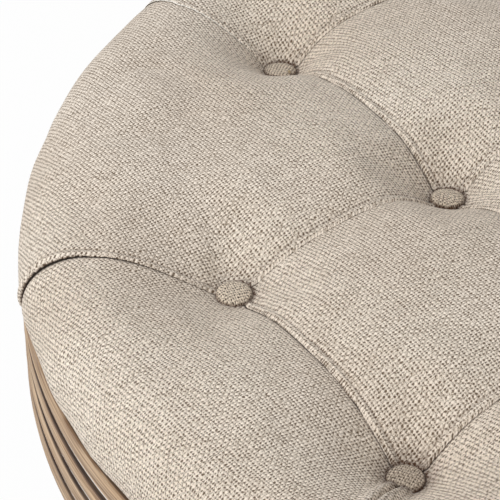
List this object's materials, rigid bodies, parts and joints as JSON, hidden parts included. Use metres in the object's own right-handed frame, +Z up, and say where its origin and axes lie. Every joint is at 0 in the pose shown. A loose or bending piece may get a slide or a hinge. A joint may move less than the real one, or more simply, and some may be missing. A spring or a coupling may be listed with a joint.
{
  "type": "ottoman coffee table",
  "caption": "Round upholstered ottoman coffee table with a button-tufted cushion top on a reeded wooden rail and turned legs.",
  "frame": {"origin": "on the floor under the middle of the round top", "axes": "+Z up; the inner tufting buttons lie on X and Y, the legs on the diagonals, and the view of the picture is from -Y, a little to +X of it"},
  "size_m": [0.9138, 0.9138, 0.457],
  "materials": {
    "linen": "natural linen in a plain weave, matte",
    "button_linen": "the same linen stretched over a button mould",
    "limed_oak": "oak with white wax left in the grain and along the reeds, satin",
    "leg_oak": "turned oak, limed like the rail, satin",
    "foam": "upholstery foam, open cells, matte",
    "plywood": "birch plywood, sanded, unfinished",
    "frame_pine": "planed pine, unfinished",
    "dowel_beech": "fluted beech dowel, unfinished",
    "twine": "waxed linen twine",
    "dust_cloth": "black spun cloth, matte",
    "washer_steel": "zinc-plated, dull",
    "screw_steel": "zinc-plated, yellowish",
    "bolt_steel": "zinc-plated",
    "insert_brass": "turned brass, plain",
    "glide_plastic": "dark nylon, matte"
  },
  "bodies": {
    "root": {"quilted_cover": "linen", "foam_core": "foam", "deck_board": "plywood", "tuft_buttons": "button_linen", "button_twines": "twine", "twine_washers": "washer_steel", "rail_dowels": "dowel_beech", "cross_brace_lower": "frame_pine", "cross_brace_upper": "frame_pine", "deck_screws": "screw_steel", "leg_inserts": "insert_brass", "hanger_bolts": "bolt_steel", "foot_glides": "glide_plastic", "dust_cover": "dust_cloth", "rail_left": "limed_oak", "deck_cleat_left": "frame_pine", "rail_front": "limed_oak", "deck_cleat_front": "frame_pine", "rail_right": "limed_oak", "deck_cleat_right": "frame_pine", "rail_back": "limed_oak", "deck_cleat_back": "frame_pine", "leg_block_front_left": "frame_pine", "leg_front_left": "leg_oak", "leg_block_front_right": "frame_pine", "leg_front_right": "leg_oak", "leg_block_back_right": "frame_pine", "leg_back_right": "leg_oak", "leg_block_back_left": "frame_pine", "leg_back_left": "leg_oak"}
  },
  "joints": []
}
